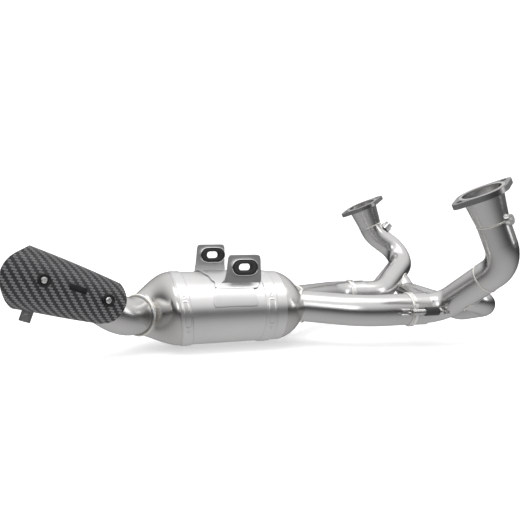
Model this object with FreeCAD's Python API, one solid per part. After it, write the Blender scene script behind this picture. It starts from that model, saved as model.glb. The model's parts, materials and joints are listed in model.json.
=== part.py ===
"""Full exhaust system for a motorcycle with two opposed cylinders.

Frame: +X forwards, +Y to the rider's left, +Z up, in millimetres. The origin is the centre of the
right port's face, where the system is bolted to the engine.
Gas runs from the two ports down the headers, through two slip joints and the link pipes, into one
oval silencer, and out of the tail pipe under the heat shield.
"""
import FreeCAD, Part
import math
import os

V = FreeCAD.Vector

# --- ports and headers ------------------------------------------------------------------------
port_tilt = 24.0            # degrees the port faces lean back from level
left_port = V(37, 476, -6)  # the left cylinder sits further forward than the right one
header_r = 23.8             # outside radius of the header tube, a 47.6 mm tube
tube_wall = 1.2
flare_r = 30.0              # outside radius of the header's mouth, at the port
flare_length = 50.0
lip_r = 34.0                # the mouth's lip, which the loose flange pulls on
lip_thickness = 3.0

flange_thickness = 8.0
flange_hub_r = 38.0
flange_ear_r = 11.5
stud_pitch = 80.0
stud_hole_r = 4.5
flange_gap = 0.5            # between the loose flange and the header it turns on

crossover_r = 19.0
sensor_boss_r = 11.0
bung_r = 8.0

# --- slip joints --------------------------------------------------------------------------------
slip_z = -186.0
slip_y = {"right": 115.0, "left": 345.0}
sleeve_mouth_x = -22.0      # where the header goes into the sleeve
sleeve_root_x = -52.0       # where the sleeve ends at its ring
header_end_x = -50.0
sleeve_clearance = 0.35
sleeve_wall = 1.6
ring_width = 5.0
link_r = 25.4               # outside radius of the link pipes, a 50.8 mm tube

spring_r = 4.6
spring_wire_r = 0.9
spring_start_x = -66.0
spring_end_x = -8.0
spring_offset = 33.0        # from the slip joint's axis out to the spring's axis
cover_r = 6.6
hook_wire_r = 1.6

# --- silencer -----------------------------------------------------------------------------------
can_y = 195.0
can_z = -181.0
can_half_width = 80.0
can_half_height = 57.5
can_wall = 1.2
can_rear_x = -421.0
can_front_x = -256.0
can_lean = 7.0              # degrees the rear seam leans back at the top
band_width = 17.0
front_taper = 0.97
nose_x = -222.0             # front face of the front cone
nose_half_width = 60.0
nose_half_height = 31.0
inlet = {"right": (V(-214, 168, -181), 32.0), "left": (V(-204, 236, -181), -42.0)}
collar_length = 60.0

core_r = 24.0               # the perforated tubes inside
core_y = {"right": can_y - 36, "left": can_y + 36}
front_baffle_x = -275.0
rear_baffle_x = -392.0

outlet_centre = V(-476, 178, -187)
outlet_direction = V(-0.68, -0.733, 0.026)
outlet_r = 31.0
outlet_ring_r = 33.0

# --- saddle, lugs and rubber bushes -----------------------------------------------------------------
saddle_thickness = 2.5
saddle_low = 37.0           # how far above the can's middle the saddle ends on each side
lug_thickness = 3.0
lug_right = {"x0": -362.0, "x1": -292.0, "y": 140.0, "foot_z": -147.0, "top_z": -95.0}
lug_left = {"x0": -379.0, "x1": -329.0, "y": 232.0, "foot_z": -130.0, "top_z": -82.0}
bush_half_length = 8.0      # half of the flat between the oval's two round ends
bush_r = 11.0               # radius of the oval's round ends
bush_hole_r = 5.5
bush_hole_half_length = 4.0
bush_width = 15.0
collar_wall = 1.8

# --- tail ---------------------------------------------------------------------------------------------
tail_foot = V(-503, 144, -169.5)  # where the straight tail's axis, run forwards, meets the elbow
tail_end = V(-649.9, 136.7, -117.6)
tail_elbow = V(-502, 150, -186)
tail_rise = 47.6            # along the tail, where the elbow's climb meets the straight part
elbow_bends = [50.0, 150.0]
tail_r = 28.5
sleeve_end_r = 35.0         # the tail's slotted end, which the rear muffler slides into
flare_start = 72.0          # along the tail, from its foot
flare_end = 106.0
slot_count = 4
slot_width = 2.5
slot_length = 44.0

clamp_gap = 0.4
clamp_wall = 1.6
clamp_width = 16.0
clamp_at = 122.0            # along the tail
clamp_bolt_r = 3.0
clamp_bolt_drop = 17.0      # from the sleeve's outside down to the bolt's axis
clamp_lug_length = 22.0

shield_wall = 1.6
# the shield's outside radius is shield_r0 + shield_r1 * along + shield_r2 * along squared
shield_r0, shield_r1, shield_r2 = 31.49, 0.14125, -0.00028125
shield_span = (-8, 182)     # along the tail, what its turned shell covers before it is cut to its outline
# the shield's outline seen from the right: along, up
shield_outline = [(0, 6), (3, 20), (13, 32), (34, 44), (80, 52), (120, 57), (146, 54), (158, 40),
                  (167, 26), (172, 9), (169, -8), (161, -24), (150, -38), (132, -50), (100, -54),
                  (60, -48), (30, -38), (14, -27), (4, -11)]
shield_edge = 6.0           # how far right of the tail's axis the shield's upper edge stops
shield_low_edge = 14.0      # and its lower edge, which leaves room for the clamp's lugs
shield_screw_at = (26.0, 116.0)
shield_screw_arc = 12.0     # degrees up from the tail's right side
post_r = 5.0
shield_screw_r = 2.4
arm_start = 90.0            # the rear screw's bracket starts on the taper and reaches over the clamp
arm_width = 12.0
arm_low_r = 37.6
arm_thickness = 1.6

os.makedirs("parts", exist_ok=True)


def save(shape, node):
    """Writes one sub-part and says how big it is."""
    shape.exportStep("parts/" + node + ".step")
    box = shape.BoundBox
    print("%-24s %9.1f mm3 %3d solids  valid %s  x %.0f..%.0f y %.0f..%.0f z %.0f..%.0f" % (
        node, shape.Volume, len(shape.Solids), shape.isValid(),
        box.XMin, box.XMax, box.YMin, box.YMax, box.ZMin, box.ZMax))


# --- geometry helpers ------------------------------------------------------------------------------

def unit(v):
    return V(v).normalize()


def placed(centre, direction, side=V(0, 1, 0)):
    """A placement whose Z runs along direction and whose X lies near side."""
    z = unit(direction)
    x = unit(side - z * side.dot(z))
    return FreeCAD.Placement(centre, FreeCAD.Rotation(x, z.cross(x), z, "ZXY"))


def cylinder(r, start, end):
    return Part.makeCylinder(r, (end - start).Length, start, end - start)


def pipe(inner_r, outer_r, start, end):
    return cylinder(outer_r, start, end).cut(cylinder(inner_r, start, end))


def cone(r0, r1, start, end):
    return Part.makeCone(r0, r1, (end - start).Length, start, end - start)


def route(points, radii):
    """A wire of straight runs joined by tangent arcs, one radius for each inner point."""
    edges = []
    here = points[0]
    for i, radius in enumerate(radii, start=1):
        back = unit(points[i - 1] - points[i])
        on = unit(points[i + 1] - points[i])
        half_turn = (math.pi - back.getAngle(on)) / 2
        tangent = radius * math.tan(half_turn)
        a = points[i] + back * tangent
        b = points[i] + on * tangent
        middle_way = unit(back + on)
        middle = points[i] + middle_way * (radius / math.cos(half_turn) - radius)
        if (a - here).Length > 0.01:
            edges.append(Part.LineSegment(here, a).toShape())
        edges.append(Part.Arc(a, middle, b).toShape())
        here = b
    if (points[-1] - here).Length > 0.01:
        edges.append(Part.LineSegment(here, points[-1]).toShape())
    return Part.Wire(edges)


def rod(points, radii, r):
    """A solid round bar along a route."""
    path = route(points, radii)
    start = Part.Wire(Part.Circle(points[0], points[1] - points[0], r).toShape())
    return path.makePipeShell([start], True, False)


def oval_wire(centre, direction, half_width, half_height, side=V(0, 1, 0)):
    """An ellipse standing across direction, half_width along side."""
    wire = Part.Wire(Part.Ellipse(V(0, 0, 0), half_width, half_height).toShape())
    wire.Placement = placed(centre, direction, side)
    return wire


def loft(wires):
    return Part.makeLoft(wires, True, False)


def slot_outline(half_length, r, depth, centre):
    """A plate with two round ends, long along X, with its thickness along Y about centre."""
    box = Part.makeBox(2 * half_length, depth, 2 * r,
                       centre - V(half_length, depth / 2, r))
    ends = [Part.makeCylinder(r, depth, centre + V(s * half_length, -depth / 2, 0), V(0, 1, 0))
            for s in (-1, 1)]
    return box.fuse(ends).removeSplitter()


# --- ports -------------------------------------------------------------------------------------------

port_normal = V(-math.sin(math.radians(port_tilt)), 0, math.cos(math.radians(port_tilt)))
port_long = V(math.cos(math.radians(port_tilt)), 0, math.sin(math.radians(port_tilt)))
ports = {"right": V(0, 0, 0), "left": left_port}


def port_collar(centre):
    """The header's flared mouth with the lip that the flange clamps."""
    foot = centre - port_normal * flare_length
    lip_back = centre - port_normal * lip_thickness
    outside = cone(header_r, flare_r, foot, lip_back).fuse(cylinder(lip_r, lip_back, centre))
    inside = cone(header_r - tube_wall, flare_r - tube_wall, foot, lip_back)
    mouth = cylinder(flare_r - tube_wall, lip_back, centre)
    return outside.cut(inside.fuse(mouth))


def port_flange(centre):
    """The loose oval plate with two stud holes, turning on the mouth under its lip."""
    turn = math.acos((flange_hub_r - flange_ear_r) / (stud_pitch / 2))
    corners = []
    for sx in (1, -1):
        for sy in (1, -1):
            way = V(math.cos(turn) * sx, math.sin(turn) * sy, 0)
            corners += [way * flange_hub_r, V(sx * stud_pitch / 2, 0, 0) + way * flange_ear_r]
    ordered = [corners[i] for i in (0, 1, 3, 2, 6, 7, 5, 4)]
    web = Part.Face(Part.makePolygon(ordered + ordered[:1])).extrude(V(0, 0, flange_thickness))
    hub = Part.makeCylinder(flange_hub_r, flange_thickness)
    ears = [Part.makeCylinder(flange_ear_r, flange_thickness, V(s * stud_pitch / 2, 0, 0))
            for s in (1, -1)]
    plate = web.fuse([hub] + ears).removeSplitter()
    recess_depth = lip_thickness + flange_gap
    plate = plate.cut(Part.makeCylinder(flare_r + flange_gap, flange_thickness))
    plate = plate.cut(Part.makeCylinder(lip_r + flange_gap, recess_depth,
                                        V(0, 0, flange_thickness - recess_depth)))
    for s in (1, -1):
        plate = plate.cut(Part.makeCylinder(stud_hole_r, flange_thickness,
                                            V(s * stud_pitch / 2, 0, 0)))
    plate.Placement = placed(centre - port_normal * flange_thickness, port_normal, port_long)
    return plate


# --- headers -----------------------------------------------------------------------------------------

def header_route(side):
    """Centre points and bend radii of a header, from the foot of its flare to the slip joint."""
    foot = ports[side] - port_normal * flare_length
    end = V(header_end_x, slip_y[side], slip_z)
    if side == "right":
        knee = ports[side] - port_normal * 116
        return [foot, knee, V(10, slip_y[side], slip_z), end], [46, 40]
    knee = ports[side] - port_normal * 70
    return [foot, knee, V(134, 452, -124), V(16, slip_y[side], slip_z), end], [60, 44, 48]


def crossover_route():
    """The balance tube leaves the left header low, crosses behind the engine's sump, and turns back
    into the right header."""
    points = [V(84, 412, -151), V(92, 372, -188), V(76, 160, -197), V(70, 66, -175), V(22, 78, -165)]
    return points, [24, 110, 28]


def headers_and_crossover():
    outer = {s: rod(*header_route(s), header_r) for s in ports}
    inner = {s: rod(*header_route(s), header_r - tube_wall) for s in ports}
    cross_outer = rod(*crossover_route(), crossover_r)
    cross_inner = rod(*crossover_route(), crossover_r - tube_wall)
    tubes = {s: outer[s].cut(inner[s]).cut(cross_inner) for s in ports}
    cross = cross_outer.cut(cross_inner).cut(outer["right"]).cut(outer["left"])
    keep = max(cross.Solids, key=lambda solid: solid.Volume)
    return tubes, keep, outer


def boss(on, way, r, height, bore_r):
    """A turned boss that stands on a tube at the point on, along way, with a blind threaded hole."""
    body = cylinder(r, on, on + way * height)
    return body.cut(cylinder(bore_r, on + way * 2, on + way * height))


# --- slip joints --------------------------------------------------------------------------------------

def slip_point(side, x):
    return V(x, slip_y[side], slip_z)


def link_route(side):
    start, turn = inlet[side]
    heading = V(math.cos(math.radians(turn)), -math.sin(math.radians(turn)), 0)
    reach = (slip_y[side] - start.y) / heading.y
    corner = start + heading * reach
    corner.z = slip_z
    return [start, corner, slip_point(side, sleeve_root_x)], [110 if side == "right" else 70]


def link_pipe(side):
    """One piece: the link pipe and the sleeve at its front that the header slides into."""
    outer = rod(*link_route(side), link_r)
    inner = rod(*link_route(side), link_r - tube_wall)
    sleeve_r = header_r + sleeve_clearance
    root = slip_point(side, sleeve_root_x)
    mouth = slip_point(side, sleeve_mouth_x)
    sleeve = pipe(sleeve_r, sleeve_r + sleeve_wall, root - V(4, 0, 0), mouth)
    tube = outer.cut(inner)
    slit = Part.makeBox(14, 60, 2, mouth + V(-14, -30, -1))
    return tube.fuse(sleeve.cut(slit)).removeSplitter()


def slip_ring(side):
    """The raised ring where the sleeve meets the link pipe."""
    outer_r = link_r + 2.5
    root = slip_point(side, sleeve_root_x)
    return pipe(header_r + sleeve_clearance + sleeve_wall, outer_r, root, root + V(ring_width, 0, 0))


def outward(side):
    return V(0, -1 if side == "right" else 1, 0)


def link_hook(side):
    """The bent wire staple on the link pipe that holds the spring's rear end."""
    out = outward(side)
    low = slip_point(side, spring_start_x - 12) + out * (link_r + 0.8)
    tip = slip_point(side, spring_start_x - 1) + out * (spring_offset + 1.0)
    arms = []
    for s in (-1, 1):
        rise = V(0, 0, s * 4.2)
        arms.append(rod([low + rise, low + rise + out * 5, tip + rise], [2.5], hook_wire_r))
    bar = cylinder(hook_wire_r, tip - V(0, 0, 4.2), tip + V(0, 0, 4.2))
    return bar.fuse(arms)


def header_hook(side, skin):
    """The bent wire on the header that holds the spring's front end."""
    out = outward(side)
    tip = slip_point(side, spring_end_x + 3) + out * (spring_offset + 1.0)
    foot = slip_point(side, spring_end_x + 14) + out * (header_r - 8)
    arms = []
    for s in (-1, 1):
        rise = V(0, 0, s * 4.2)
        arms.append(rod([tip + rise, tip + rise + V(9, 0, 0), foot + rise], [3], hook_wire_r))
    bar = cylinder(hook_wire_r, tip - V(0, 0, 4.2), tip + V(0, 0, 4.2))
    return bar.fuse(arms).cut(skin)


def spring(side):
    """A coil between the two hooks, as a plain closed tube of the coil's outer size."""
    out = outward(side)
    start = slip_point(side, spring_start_x + 3) + out * spring_offset
    end = slip_point(side, spring_end_x - 1) + out * spring_offset
    return pipe(spring_r - 2 * spring_wire_r, spring_r, start, end)


def spring_cover(side):
    """The soft tube round the middle of the spring that stops it from ringing."""
    out = outward(side)
    start = slip_point(side, -40) + out * spring_offset
    end = slip_point(side, -16) + out * spring_offset
    return pipe(spring_r, cover_r, start, end)


# --- silencer ------------------------------------------------------------------------------------------

def can_section(x, shrink=0.0, lean=0.0, scale=1.0):
    """An ellipse across the can at x, shrink millimetres inside its skin."""
    tilt = math.radians(lean)
    return oval_wire(V(x, can_y, can_z), V(math.cos(tilt), 0, math.sin(tilt)),
                     can_half_width * scale - shrink,
                     can_half_height * scale / math.cos(tilt) - shrink)


def can_shell():
    outer = loft([can_section(can_rear_x, 0, can_lean), can_section(can_front_x, 0, 0, front_taper)])
    inner = loft([can_section(can_rear_x, can_wall, can_lean),
                  can_section(can_front_x, can_wall, 0, front_taper)])
    return outer.cut(inner)


def band(at_rear):
    """A pressed strap round the can at one seam."""
    if at_rear:
        ends = [(can_rear_x + 0.3, can_lean, 1.0), (can_rear_x + band_width, can_lean, 1.0)]
    else:
        ends = [(can_front_x - band_width, 0, front_taper + 0.003), (can_front_x - 0.3, 0, front_taper)]
    return loft([can_section(x, -1.4, lean, scale) for x, lean, scale in ends]).cut(can_solid())


def can_solid():
    return loft([can_section(can_rear_x, 0, can_lean), can_section(can_front_x, 0, 0, front_taper)])


def nose_section(x, shrink, grow=1.0):
    return oval_wire(V(x, can_y + 4, can_z), V(1, 0, 0),
                     nose_half_width * grow - shrink, nose_half_height * grow - shrink)


def collar_points(side):
    """Where an inlet collar starts inside the nose and where it ends."""
    end, turn = inlet[side]
    heading = V(math.cos(math.radians(turn)), -math.sin(math.radians(turn)), 0)
    return end - heading * collar_length, end


def front_cone():
    """The pressed nose with its two inlet collars, closed round them."""
    def solid(shrink):
        body = loft([can_section(can_front_x, shrink, 0, front_taper),
                     oval_wire(V(can_front_x + 14, can_y + 1, can_z), V(1, 0, 0),
                               75 - shrink, 51 - shrink),
                     nose_section(nose_x - shrink, shrink)])
        for side in ports:
            start, end = collar_points(side)
            body = body.fuse(cylinder(link_r - shrink, start, end))
        return body
    behind = Part.makeBox(60, 200, 160, V(can_front_x - 60, can_y - 100, can_z - 80))
    links = [rod(*link_route(side), link_r) for side in ports]
    return solid(0).cut(solid(tube_wall)).cut(behind).cut(links), solid(0)


def inlet_ring(side, nose):
    """The raised weld ring where a link pipe meets its collar, outside the nose."""
    start, end = collar_points(side)
    way = unit(end - start)
    ring = pipe(link_r + 0.3, link_r + 2.2, end + way * 0.5, end + way * 4.5)
    return ring.cut(nose)


def rear_cone():
    """The pressed tail cone, from the leaning oval seam to the round outlet that faces out to the right."""
    way = unit(outlet_direction)

    def solid(shrink, over):
        return loft([can_section(can_rear_x + over, shrink, can_lean),
                     oval_wire(V(-456, 190, -184), V(0.9, 0.42, 0.05), 60 - shrink, 47 - shrink),
                     oval_wire(outlet_centre + way * over, way * -1, outlet_r - shrink,
                               outlet_r - shrink - 0.01)])
    return solid(0, 0).cut(solid(tube_wall, 0.5))


def outlet_ring():
    way = unit(outlet_direction)
    return pipe(tail_r, outlet_ring_r, outlet_centre, outlet_centre + way * 5)


def baffle(x, holes):
    """An oval plate inside the can, with the pipes' holes through it."""
    plate = loft([can_section(x, can_wall + 1.5, 0, 0.985), can_section(x + 2, can_wall + 1.5, 0, 0.985)])
    for y, r in holes:
        plate = plate.cut(Part.makeCylinder(r, 10, V(x - 4, y, can_z), V(1, 0, 0)))
    return plate


def core_tube(y):
    """A straight perforated tube; its rows of holes run round it."""
    tube = pipe(core_r - 1, core_r, V(rear_baffle_x + 2.2, y, can_z), V(front_baffle_x - 0.2, y, can_z))
    for k in range(6):
        x = rear_baffle_x + 18 + k * 16
        for turn in (0, 60, 120):
            way = V(0, math.cos(math.radians(turn)), math.sin(math.radians(turn)))
            tube = tube.cut(Part.makeCylinder(3.5, 4 * core_r, V(x, y, can_z) - way * 2 * core_r, way))
    return tube


def packing():
    """The sound-deadening fill between the core tubes and the shell."""
    body = loft([can_section(rear_baffle_x + 3, 6, 0, 0.98), can_section(front_baffle_x - 1, 6, 0, 0.97)])
    for y in core_y.values():
        body = body.cut(Part.makeCylinder(core_r + 0.5, 200, V(rear_baffle_x - 20, y, can_z), V(1, 0, 0)))
    return body


# --- saddle and lugs -------------------------------------------------------------------------------------

def saddle_solid():
    """Everything inside the saddle's outer face, between its two ends."""
    x0, x1 = lug_left["x0"] + 4, lug_right["x1"] - 2
    return loft([can_section(x0, -saddle_thickness), can_section(x1, -saddle_thickness, 0, 0.99)]), x0, x1


def saddle():
    """A curved plate welded over the can that carries both lugs."""
    outer, x0, x1 = saddle_solid()
    skin = Part.makeBox(x1 - x0, 150, 80, V(x0, can_y - 82, can_z + saddle_low))
    inner = loft([can_section(x0, -0.3), can_section(x1, -0.3, 0, 0.99)])
    return outer.cut(inner).common(skin)


def bush_centre(lug):
    return V((lug["x0"] + lug["x1"]) / 2 + (8 if lug is lug_right else 4), lug["y"],
             lug["top_z"] - 17 - (2 if lug is lug_right else 0))


def lug_plate(lug, lean_in):
    """An upright ear, wider at its foot, with an oval hole for the rubber bush."""
    y = lug["y"]
    x0, x1, low, top = lug["x0"], lug["x1"], lug["foot_z"], lug["top_z"]
    outline = Part.makePolygon([V(x0, y, low), V(x0 + lean_in, y, low + 14), V(x0 + lean_in + 3, y, top - 4),
                                V(x0 + lean_in + 7, y, top), V(x1 - 5, y, top), V(x1, y, top - 5),
                                V(x1, y, low), V(x0, y, low)])
    plate = Part.Face(outline).extrude(V(0, lug_thickness, 0))
    centre = bush_centre(lug) + V(0, lug_thickness / 2, 0)
    plate = plate.cut(slot_outline(bush_half_length, bush_r + collar_wall, 30, centre))
    around = loft([can_section(lug["x0"] - 10, -saddle_thickness),
                   can_section(lug["x1"] + 10, -saddle_thickness, 0, 0.99)])
    return plate.cut(around).cut(saddle_solid()[0])


def lug_collar(lug):
    centre = bush_centre(lug) + V(0, lug_thickness / 2 - 2, 0)
    outer = slot_outline(bush_half_length, bush_r + collar_wall, bush_width - 2, centre)
    inner = slot_outline(bush_half_length, bush_r, bush_width + 4, centre)
    return outer.cut(inner)


def rubber_bush(lug):
    centre = bush_centre(lug) + V(0, lug_thickness / 2 - 2, 0)
    outer = slot_outline(bush_half_length, bush_r, bush_width, centre)
    inner = slot_outline(bush_hole_half_length, bush_hole_r, bush_width + 4, centre)
    return outer.cut(inner)


# --- tail -----------------------------------------------------------------------------------------------------

tail_way = unit(tail_end - tail_foot)
tail_out = unit(V(0, -1, 0) - tail_way * V(0, -1, 0).dot(tail_way))
tail_up = tail_way.cross(tail_out)
tail_length = (tail_end - tail_foot).Length


def on_tail(along, angle=0.0, r=0.0):
    """A point on the tail: along its axis from the foot, at an angle round it, r from the axis."""
    turn = math.radians(angle)
    return tail_foot + tail_way * along + (tail_out * math.cos(turn) + tail_up * math.sin(turn)) * r


def tail_solid(shrink):
    way = unit(outlet_direction)
    bend = rod([outlet_centre + way * 1.0, tail_elbow, on_tail(tail_rise), on_tail(flare_start)],
               elbow_bends, tail_r - shrink)
    taper = cone(tail_r - shrink, sleeve_end_r - shrink, on_tail(flare_start), on_tail(flare_end))
    end = cylinder(sleeve_end_r - shrink, on_tail(flare_end), on_tail(tail_length))
    return bend.fuse([taper, end])


def tail_pipe():
    """The bent tail pipe with its widened, slotted end."""
    body = tail_solid(0).cut(tail_solid(1.5))
    for k in range(slot_count):
        slot = Part.makeBox(slot_width, 60, slot_length + 1, V(-slot_width / 2, 0, 0))
        slot.Placement = placed(on_tail(tail_length - slot_length), tail_way,
                                tail_up if k == 0 else on_tail(0, 45 + 90 * k, 1) - tail_foot)
        body = body.cut(slot)
    return body.removeSplitter()


def tail_plate(size, thickness, along, angle, r):
    """A small rectangular plate that stands off the tail, size along it and across it."""
    box = Part.makeBox(size[0], size[1], thickness, V(-size[0] / 2, -size[1] / 2, 0))
    way = on_tail(0, angle, 1) - tail_foot
    box.Placement = placed(on_tail(along, angle, r), way, tail_way)
    return box


def shield_radius(along):
    return shield_r0 + shield_r1 * along + shield_r2 * along * along


def shield_solid(shrink):
    """The solid inside the shield's turned shell, shrink millimetres below its outside."""
    low, high = shield_span
    steps = 10
    stations = [low + (high - low) * k / steps for k in range(steps + 1)]
    skin = Part.BSplineCurve()
    skin.interpolate([V(shield_radius(along) - shrink, 0, along) for along in stations])
    first, last = V(0, 0, low), V(0, 0, high)
    edges = [skin.toShape(), Part.LineSegment(V(shield_radius(high) - shrink, 0, high), last).toShape(),
             Part.LineSegment(last, first).toShape(),
             Part.LineSegment(first, V(shield_radius(low) - shrink, 0, low)).toShape()]
    body = Part.Face(Part.Wire(edges)).revolve(V(0, 0, 0), V(0, 0, 1), 360)
    body.Placement = placed(tail_foot, tail_way, tail_up)
    return body


def screw_axis(along):
    """Where a shield screw's axis crosses the shield's outside, and its direction, square to the shield there."""
    slope = shield_r1 + 2 * shield_r2 * along
    way = unit(on_tail(0, shield_screw_arc, 1) - tail_foot - tail_way * slope)
    return on_tail(along, shield_screw_arc, shield_radius(along)), way


def shield():
    """A laminate half shell that stands off the tail pipe on its right side, with rounded ends."""
    outline = Part.BSplineCurve()
    outline.interpolate([on_tail(along) + tail_up * up + tail_out * shield_edge
                         for along, up in shield_outline], True)
    cutter = Part.Face(Part.Wire(outline.toShape())).extrude(tail_out * 60)
    below = Part.makeBox(220, 80, 2 * shield_low_edge, V(-20, 0, -shield_low_edge))
    below.Placement = FreeCAD.Placement(tail_foot, FreeCAD.Rotation(tail_way, tail_up * -1, tail_out, "ZXY"))
    shell = shield_solid(0).cut(shield_solid(shield_wall)).common(cutter).cut(below)
    shell = shell.cut(tail_solid(-0.8))
    for along in shield_screw_at:
        on, way = screw_axis(along)
        shell = shell.cut(cylinder(shield_screw_r + 0.2, on - way * 6, on + way * 6))
    return max(shell.Solids, key=lambda solid: solid.Volume)


def shield_boss(along, foot):
    """The threaded boss under a shield screw, from foot millimetres below the shield's outside up to it."""
    on, way = screw_axis(along)
    body = cylinder(post_r, on - way * foot, on).common(shield_solid(shield_wall + 0.15))
    return body, cylinder(shield_screw_r + 0.1, on - way * (foot - 0.6), on)


def shield_post():
    """The front boss, which stands on the tail pipe."""
    along = shield_screw_at[0]
    body, bore = shield_boss(along, shield_radius(along) - tail_r + 1)
    return body.cut(bore).cut(tail_solid(0))


def shield_arm():
    """The rear screw's bracket: a foot on the tail's taper, an arm over the clamp, and a boss on it."""
    along = shield_screw_at[1]
    length = along + 7 - arm_start
    arm = tail_plate((length, arm_width), arm_thickness, arm_start + length / 2, shield_screw_arc, arm_low_r)
    foot = tail_plate((arm_thickness, arm_width), arm_low_r + 1 - tail_r, arm_start + arm_thickness / 2,
                      shield_screw_arc, tail_r)
    body, bore = shield_boss(along, shield_radius(along) - arm_low_r)
    return arm.fuse([foot, body]).cut(tail_solid(0)).cut(bore)


def shield_washer(along):
    on, way = screw_axis(along)
    start, end = on + way * 0.2, on + way * 1.9
    return cylinder(7.5, start, end).cut(cylinder(shield_screw_r + 0.2, start, end))


def shield_screw(along, depth):
    """A button-head screw: its shank, depth millimetres below the shield, and a head with a hexagon socket."""
    on, way = screw_axis(along)
    base = on + way * 2.0
    head = cylinder(4.6, base, base + way * 1.0).fuse(cone(4.6, 3.2, base + way, base + way * 2.8))
    socket = Part.Face(Part.makePolygon([V(1.6 * math.cos(math.radians(60 * k)),
                                           1.6 * math.sin(math.radians(60 * k)), 0) for k in range(7)]))
    socket = socket.extrude(V(0, 0, 3))
    socket.Placement = placed(base + way * 1.0, way, tail_way)
    shank = cylinder(shield_screw_r, on - way * depth, base)
    return head.cut(socket).fuse(shank)


def badge():
    """A plain name plate with nothing on it, bent to the shield."""
    along, angle = 70.0, 16.0
    block = tail_plate((24, 8), 12, along, angle, shield_radius(along) - 6)
    return block.common(shield_solid(-0.9)).cut(shield_solid(-0.1))


def clamp_band():
    """A thin strap round the slotted end, open below, with two turned-out lugs."""
    mid = clamp_at
    r = sleeve_end_r + clamp_gap
    start, end = on_tail(mid - clamp_width / 2), on_tail(mid + clamp_width / 2)
    strap = pipe(r, r + clamp_wall, start, end)
    gap = Part.makeBox(6, 60, clamp_width + 2, V(-3, 0, 0))
    down = on_tail(0, -90, 1) - tail_foot
    gap.Placement = placed(on_tail(mid - clamp_width / 2 - 1), tail_way, down.cross(tail_way))
    strap = strap.cut(gap)
    lugs = []
    for s in (-1, 1):
        lug = Part.makeBox(clamp_wall, clamp_lug_length, clamp_width, V(s * 3 - clamp_wall / 2 + s * clamp_wall / 2, 0, 0))
        lug.Placement = placed(on_tail(mid - clamp_width / 2, -90, r + 0.4), tail_way, down.cross(tail_way))
        lugs.append(lug)
    hole = clamp_axis()
    return strap.fuse(lugs).cut(cylinder(clamp_bolt_r + 0.3, *hole))


def clamp_axis():
    mid = on_tail(clamp_at, -90, sleeve_end_r + clamp_bolt_drop)
    return mid + tail_out * 20, mid - tail_out * 20


def clamp_bolt():
    mid = on_tail(clamp_at, -90, sleeve_end_r + clamp_bolt_drop)
    shank = cylinder(clamp_bolt_r, mid + tail_out * 6, mid - tail_out * 16)
    head = cylinder(5.2, mid + tail_out * 5.2, mid + tail_out * 10.5)
    return head.fuse(shank)


def clamp_nut():
    mid = on_tail(clamp_at, -90, sleeve_end_r + clamp_bolt_drop)
    start, end = mid - tail_out * 5.2, mid - tail_out * 11.5
    return cylinder(5.2, start, end).cut(cylinder(clamp_bolt_r, start, end))


# --- everything, one file for each sub-part -------------------------------------------------------------

tubes, crossover, header_outers = headers_and_crossover()
save(crossover, "crossover_tube")
for side in ports:
    save(tubes[side], "header_" + side)
    save(port_collar(ports[side]), "port_collar_" + side)
    save(port_flange(ports[side]), "port_flange_" + side)
    save(header_hook(side, header_outers[side]), "header_hook_" + side)
    save(link_pipe(side), "link_pipe_" + side)
    save(slip_ring(side), "slip_ring_" + side)
    save(link_hook(side), "link_hook_" + side)
    save(spring(side), "spring_" + side)
    save(spring_cover(side), "spring_cover_" + side)

sensor_way = unit(V(0.62, -0.25, 0.74))
sensor_on = V(76, 472, -74) + sensor_way * (header_r - 3)
save(boss(sensor_on, sensor_way, sensor_boss_r, 9, 6).cut(header_outers["left"]), "sensor_boss")
save(cylinder(5.9, sensor_on + sensor_way * 5, sensor_on + sensor_way * 9.2).fuse(
    cylinder(8.5, sensor_on + sensor_way * 9.2, sensor_on + sensor_way * 15)), "sensor_plug")
bung_way = unit(V(0.35, -0.92, 0.17))
bung_on = V(22, 0, -46) + bung_way * (header_r - 2)
mouth = cone(header_r, flare_r, port_normal * -flare_length, port_normal * -lip_thickness)
bung = boss(bung_on, bung_way, bung_r, 7, 3.5).cut(mouth.fuse(header_outers["right"]))
save(max(bung.Solids, key=lambda solid: solid.Volume), "test_bung")

save(can_shell(), "can_shell")
save(band(True), "band_rear")
save(band(False), "band_front")
nose_shell, nose = front_cone()
save(nose_shell, "front_cone")
for side in ports:
    save(inlet_ring(side, nose), "inlet_ring_" + side)
save(rear_cone(), "rear_cone")
save(outlet_ring(), "outlet_ring")
save(baffle(front_baffle_x, [(y, core_r - 2) for y in core_y.values()]), "baffle_front")
save(baffle(rear_baffle_x, [(y, core_r - 2) for y in core_y.values()]), "baffle_rear")
for side in ports:
    save(core_tube(core_y[side]), "core_tube_" + side)
save(packing(), "packing")

save(saddle(), "saddle")
for name, lug, lean_in in (("right", lug_right, 14), ("left", lug_left, 3)):
    save(lug_plate(lug, lean_in), "lug_" + name)
    save(lug_collar(lug), "lug_collar_" + name)
    save(rubber_bush(lug), "rubber_bush_" + name)

save(tail_pipe(), "tail_pipe")
save(shield(), "heat_shield")
save(shield_post(), "shield_post")
save(shield_arm(), "shield_arm")
save(Part.makeCompound([shield_washer(a) for a in shield_screw_at]), "shield_washers")
save(Part.makeCompound([shield_screw(along, 5.0) for along in shield_screw_at]), "shield_screws")
save(badge(), "name_plate")
save(clamp_band(), "clamp_band")
save(clamp_bolt(), "clamp_bolt")
save(clamp_nut(), "clamp_nut")
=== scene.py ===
# %% [markdown]
# # A full racing exhaust, dressed for its picture
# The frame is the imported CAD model: every tube, flange and bracket is already there, in metres, in
# the place where it is bolted. This lesson keeps the CAD surfaces that are right, gives each a
# metal, rubber or laminate finish, and builds the pieces that CAD only stands in for: coil springs,
# weld beads, pressed bands and the carbon shield.

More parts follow.
